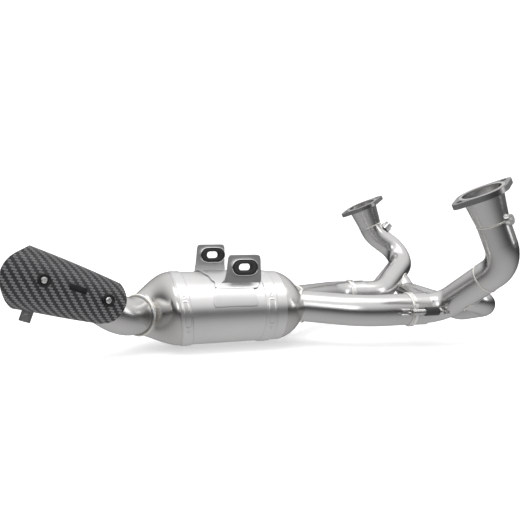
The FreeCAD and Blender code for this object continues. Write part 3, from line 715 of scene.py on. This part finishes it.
def band(name, x0, x1, lean, replaced):
    """Strip (turn, width): height = plateau that falls off at both edges + ridges along pressed
    outlines."""
    turn = np.linspace(0, 2 * math.pi, 620)
    span = arc_length(turn)
    width = x1 - x0
    w = np.linspace(-0.5, 0.5, 41) * width
    arc, across_band = span[None, :], w[:, None]
    edge_share = np.clip((np.abs(across_band) - width / 2 + BAND_EDGE) / BAND_EDGE, 0, 1)
    plateau = BAND_HEIGHT * (1 - edge_share ** 2)
    height = plateau + 0 * arc
    for middle in np.interp(np.radians([180.0, 0.0, 90.0, 270.0]), turn, span):
        gap = (arc - middle + span[-1] / 2) % span[-1] - span[-1] / 2
        long_slot = rounded_box_distance(gap, across_band, SLOT_HALF, width * 0.26, width * 0.24)
        height += 0.55 * np.exp(-(long_slot / 0.75) ** 2)
        for mark in (-MARK_AT, MARK_AT):
            dimple = np.hypot(gap - mark, across_band)
            height += 0.45 * np.exp(-((dimple - MARK_R) / 0.6) ** 2) - 0.5 * np.exp(-(dimple / 1.3) ** 2)
    x_middle = (x0 + x1) / 2
    y, z, normal = ellipse(turn, can_scale(x_middle))
    x = x_middle + w[:, None] - lean * (z - CAN[2])[None, :]
    taper = (can_scale(x_middle + w) / can_scale(x_middle))[:, None]
    points = np.stack([x, CAN[1] + (y - CAN[1]) * taper + normal[:, 0] * height,
                       CAN[2] + (z - CAN[2]) * taper + normal[:, 1] * height], -1)
    inner = np.stack([x[[-1, 0]], (CAN[1] + (y - CAN[1]) * taper[[-1, 0]] + normal[:, 0] * 0.15),
                      (CAN[2] + (z - CAN[2]) * taper[[-1, 0]] + normal[:, 1] * 0.15)], -1)
    piece = skin(name, np.concatenate([points, inner])[:, :-1] * MM, can_sheet, close_rows=True)
    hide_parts(replaced)
    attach(piece, "silencer")


band("rear_pressed_band", -420.0, -403.5, CAN_LEAN, "band_rear")
band("front_pressed_band", -290.0, -271.0, 0.0, "band_front")


# %% [markdown]
# ## The tail cone
# The tail cone is pressed from the oval seam down to a round neck that faces out to the right. Each
# line of it, at one angle round the seam, is a cubic that leaves the can straight back and arrives
# along the neck's axis, so the near side dips into a throat before the neck and the far side makes
# a long smooth shoulder.

# %% Tail cone
def tail_cone():
    """Hermite curves from the seam's ellipse to the neck's circle; the slopes' lengths follow each
    line's length."""
    turn = np.linspace(0, 2 * math.pi, 145)[:-1]
    y, z, _ = ellipse(turn)
    seam = np.stack([CAN_REAR - CAN_LEAN * (z - CAN[2]), y, z], -1)
    a, b = across(OUTLET_WAY, (0, 1, 0))
    neck = OUTLET + 31.0 * (np.cos(turn)[:, None] * a - np.sin(turn)[:, None] * b)
    length = np.linalg.norm(neck - seam, axis=1)[:, None]
    s = np.linspace(0, 1, 49)[:, None, None]
    leave, arrive = np.array([-1.0, 0, 0]) * length * 1.0, OUTLET_WAY * length * 0.55
    points = ((2 * s ** 3 - 3 * s ** 2 + 1) * seam + (s ** 3 - 2 * s ** 2 + s) * leave
              + (3 * s ** 2 - 2 * s ** 3) * neck + (s ** 3 - s ** 2) * arrive)
    piece = skin("tail_cone", points * MM, cone_sheet, outward=False)
    face_outwards_from(piece, (CAN + (CAN_REAR, 0, 0)) * MM)
    thicken(piece, 1.2)
    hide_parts("rear_cone")
    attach(piece, "silencer")


def face_outwards_from(piece, middle):
    """Turns an open skin so that most of it faces away from a point inside it."""
    count = len(piece.data.polygons)
    normals, centres = np.empty(count * 3, np.float32), np.empty(count * 3, np.float32)
    piece.data.polygons.foreach_get("normal", normals)
    piece.data.polygons.foreach_get("center", centres)
    if ((centres.reshape(-1, 3) - middle) * normals.reshape(-1, 3)).sum() < 0:
        piece.data.flip_normals()


tail_cone()


# %% [markdown]
# ## Sheet that lies on the can
# The saddle and the lug's foot tab are sheet, bent to the can's curve. A rounded patch is a disc
# mapping from its middle to a closed outline, given in (x, angle round the can), then lifted off
# the can by the sheet's thickness.

# %% Patches on the can
def patch(name, corners, lift, thickness, per_span=10, rings=16):
    """Disc mapping in (x, angle in degrees): from the corners' mean to a smooth loop through the
    corners."""
    edge = smooth_loop(np.asarray(corners, float), per_span)
    middle = edge.mean(0)
    s = np.linspace(0, 1, rings)[:, None, None]
    flat = middle + (edge[None] - middle) * s
    x, turn = flat[..., 0], np.radians(flat[..., 1])
    y, z, normal = ellipse(turn, 1.0)
    scale = can_scale(x)
    points = np.stack([x, CAN[1] + (y - CAN[1]) * scale + normal[..., 0] * lift,
                       CAN[2] + (z - CAN[2]) * scale + normal[..., 1] * lift], -1)
    piece = skin(name, points * MM, bracket_sheet, outward=False)
    up = np.array([0.0, np.cos(np.radians(middle[1])), np.sin(np.radians(middle[1]))])
    face_towards(piece, up)
    thicken(piece, thickness, 0.4)
    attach(piece, "silencer")
    return piece


SADDLE_CORNERS = [(-381, 48), (-383, 66), (-380, 88), (-377, 104), (-371, 115), (-369, 124),
                  (-365, 130), (-364, 141), (-340, 143), (-312, 143), (-299, 141), (-294, 128),
                  (-295, 100), (-303, 78), (-318, 58), (-330, 48), (-355, 45)]
TAB_CORNERS = [(-364, 141), (-368, 150), (-371, 161), (-370, 168), (-366, 170.5), (-340, 170),
               (-308, 170.5), (-303.5, 168), (-303, 161), (-306, 150), (-309, 142), (-336, 139)]
saddle_sheet = patch("saddle_sheet", SADDLE_CORNERS, 2.4, 2.0)
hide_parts("saddle")
patch("lug_foot_tab", TAB_CORNERS, 2.0, 1.7)


# %% [markdown]
# ## Lugs
# Each lug is a plate with rounded corners, cut out for the bush's collar. It is a ring-shaped grid
# between two closed outlines, the plate's edge outside and the oval cut-out inside, both sampled at
# the same angles.

# %% Lug plates
def oval_outline(half_length, radius, turn):
    """The point of an oval with two round ends that lies at the angle turn from its middle."""
    c, s = np.cos(turn), np.sin(turn)
    flat = radius / np.maximum(np.abs(s), 1e-9)
    round_end = half_length * np.abs(c) + np.sqrt(np.maximum(radius ** 2 - (half_length * s) ** 2, 0))
    reach = np.where(flat * np.abs(c) <= half_length, flat, round_end)
    return np.stack([reach * c, reach * s], -1)


def corner_outline(corners, turn):
    """Distance from the middle to a smooth loop through the corners, read off at each angle."""
    loop = smooth_loop(np.asarray(corners, float), 12)
    angle = np.arctan2(loop[:, 1], loop[:, 0])
    order = np.argsort(angle)
    angle, reach = angle[order], np.hypot(*loop.T)[order]
    found = np.interp((turn + math.pi) % (2 * math.pi) - math.pi, angle, reach, period=2 * math.pi)
    return np.stack([found * np.cos(turn), found * np.sin(turn)], -1)


COLLAR_WALL, BUSH_R, BUSH_HALF = 1.8, 11.0, 8.0
LUGS = {"right": dict(centre=(-319.0, 141.5, -114.0), corners=[
            (-25, 13), (-23, 18), (-19, 19), (0, 19), (18, 19), (23.5, 18), (26, 13), (26.5, 0),
            (27, -17), (25, -25), (14, -30), (-20, -30), (-43, -30.5), (-45, -29), (-38, -25),
            (-31.5, -19), (-28, -8), (-26.5, 2)]),
        "left": dict(centre=(-350.0, 233.5, -99.0), corners=[
            (-25, 11), (-23, 16), (-18, 17), (0, 17), (14, 17), (19, 16), (21, 11), (21, 0),
            (21, -14), (21, -27), (12, -27.5), (-10, -27.5), (-28, -27.5), (-27.5, -14), (-26, 0)])}


def lug(side):
    """Ring grid: v from the cut-out to the plate's edge, at even angles round the bush's middle."""
    centre = np.array(LUGS[side]["centre"])
    turn = np.linspace(-math.pi, math.pi, 181)[:-1]
    hole = oval_outline(BUSH_HALF, BUSH_R + COLLAR_WALL, turn)
    rim = corner_outline(LUGS[side]["corners"], turn)
    v = np.linspace(0, 1, 9)[:, None, None]
    flat = hole[None] * (1 - v) + rim[None] * v
    near = OUT["right"][1]
    points = np.stack([flat[..., 0] + centre[0], 0 * flat[..., 0] + centre[1] + near * 1.5,
                       flat[..., 1] + centre[2]], -1)
    piece = skin("lug_plate_" + side, points * MM, bracket_sheet, outward=False)
    face_towards(piece, (0, near, 0))
    thicken(piece, 3.0, 0.7, 3)
    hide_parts("lug_" + side)
    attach(piece, "silencer")


def oval_ring(name, centre, inner, outer, half_width, paint, replaced, squareness):
    """A closed oval ring. Its section is a squared-off oval: it blends from the inner outline to
    the outer one as cosine goes from -1 to 1, while sine moves it across the ring's width;
    squareness under 1 fills the corners."""
    turn = np.linspace(0, 2 * math.pi, 120, endpoint=False)
    phase = np.linspace(0, 2 * math.pi, 28, endpoint=False)
    c, s = np.cos(phase), np.sin(phase)
    share = (0.5 + 0.5 * np.sign(c) * np.abs(c) ** squareness)[:, None, None]
    depth = half_width * np.sign(s) * np.abs(s) ** squareness
    flat = oval_outline(*inner, turn)[None] * (1 - share) + oval_outline(*outer, turn)[None] * share
    points = np.stack([flat[..., 0] + centre[0], depth[:, None] + centre[1] + 0 * flat[..., 0],
                       flat[..., 1] + centre[2]], -1)
    piece = skin(name, points * MM, paint, close_rows=True)
    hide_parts(replaced)
    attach(piece, "silencer")


for side in ("right", "left"):
    lug(side)
    middle = np.array(LUGS[side]["centre"]) - (0, 2.0, 0)
    oval_ring("collar_rim_" + side, middle, (BUSH_HALF, BUSH_R + 0.1),
              (BUSH_HALF, BUSH_R + COLLAR_WALL + 0.3), 6.6, bright_metal,
              "lug_collar_" + side, 0.7)
    oval_ring("bush_" + side, middle, (4.0, 5.5), (BUSH_HALF, BUSH_R), 7.6, bush_rubber,
              "rubber_bush_" + side, 0.55)


# %% [markdown]
# ## Studio
# Satin tubes show what stands round them. A pale floor curves up into a wall, soft lamps stand
# above and beside, and the sky is bright above and below but dark in a band near the horizon, which
# puts a line of shade along each tube. The tubes mirror the sky and not the floor, so the floor's
# glow doesn't wash that line out.

# %% Floor, lamps and sky
def stage_surface(name, points, paint):
    piece = skin(name, points, paint, close_columns=False, outward=False)
    return piece


def plain(name, colour, glow=0.0):
    p = Paint(name)
    return p.finish(Base_Color=(*colour, 1), Roughness=0.9, Emission_Color=(*colour, 1),
                    Emission_Strength=glow)


FLOOR_Z = -0.243
t = np.linspace(0, 1, 40)
bend = np.clip((t - 0.55) / 0.3, 0, 1) * math.pi / 2
run = np.where(t < 0.55, -3.0 + t / 0.55 * 5.0, 2.0 + np.sin(bend) * 1.2)
rise = FLOOR_Z + np.where(t < 0.55, 0, 1.2 * (1 - np.cos(bend)) + np.clip((t - 0.85) / 0.15, 0, 1) * 3.0)
sweep_x = np.linspace(-6, 6, 2)
grid = np.stack([sweep_x[None, :] + 0 * run[:, None], run[:, None] + 0 * sweep_x,
                 rise[:, None] + 0 * sweep_x], -1)
floor = stage_surface("pale_floor", grid, plain("pale paper", (0.92, 0.92, 0.92), 0.42))


def lamp(name, place, target, size, watts):
    """A soft square lamp at place, aimed at target."""
    light = bpy.data.lights.new(name, "AREA")
    light.shape, light.size, light.size_y, light.energy = "RECTANGLE", size[0], size[1], watts
    obj = bpy.data.objects.new(name, light)
    bpy.context.collection.objects.link(obj)
    obj.location = place
    obj.rotation_mode = "QUATERNION"
    obj.rotation_quaternion = (Vector(target) - Vector(place)).to_track_quat("-Z", "Y")


lamp("top_box", (-0.25, -0.1, 1.5), (-0.25, 0.2, -0.1), (2.2, 0.9), 9)
lamp("front_box", (-1.3, -1.9, 0.9), (-0.25, 0.15, -0.1), (1.2, 0.9), 7)
lamp("side_box", (1.6, -1.0, 0.6), (-0.1, 0.15, -0.1), (0.5, 1.1), 4)

world = bpy.data.worlds.new("studio")
bpy.context.scene.world = world
world.use_nodes = True
backdrop = world.node_tree.nodes["Background"]
links, nodes = world.node_tree.links, world.node_tree.nodes
sky, split, ramp = (nodes.new(kind) for kind in ("ShaderNodeTexCoord", "ShaderNodeSeparateXYZ",
                                                 "ShaderNodeValToRGB"))
spread = nodes.new("ShaderNodeMath")
spread.operation = "MULTIPLY_ADD"
spread.inputs[1].default_value, spread.inputs[2].default_value = 0.5, 0.5
SKY_STRENGTH = 0.8
# height, from 0 straight down to 1 straight up, and grey
SKY = [(0.0, 0.80), (0.20, 0.62), (0.36, 0.24), (0.47, 0.03), (0.54, 0.10), (0.66, 0.80), (0.80, 1.25),
       (1.0, 1.3)]
for element, (height, grey) in zip(ramp_stops(ramp, len(SKY)), SKY):
    element.position, element.color = height, (grey, grey, grey, 1)
links.new(sky.outputs["Generated"], split.inputs[0])
links.new(split.outputs[2], spread.inputs[0])
links.new(spread.outputs[0], ramp.inputs[0])
links.new(ramp.outputs[0], backdrop.inputs["Color"])
backdrop.inputs["Strength"].default_value = SKY_STRENGTH
floor.visible_glossy = False
bpy.context.scene.view_settings.view_transform = "Standard"


# %% [markdown]
# ## Camera
# The camera stands off the motorcycle's right side, a little behind the middle, and looks slightly
# forwards and down. Its lens just fits the whole system from side to side.

# %% Camera
CAMERA_PLACE = (-0.5606, -0.7778, -0.0467)
CAMERA_WAY = (0.2785, 0.9586, -0.0593)
LENS, SENSOR = 42.9, 36.0   # millimetres
NEAREST = 0.01
camera = bpy.data.objects.new("camera", bpy.data.cameras.new("camera"))
bpy.context.collection.objects.link(camera)
camera.location = CAMERA_PLACE
camera.rotation_mode = "QUATERNION"
camera.rotation_quaternion = Vector(CAMERA_WAY).to_track_quat("-Z", "Y")
camera.data.lens, camera.data.sensor_width = LENS, SENSOR
camera.data.clip_start = NEAREST
bpy.context.scene.camera = camera
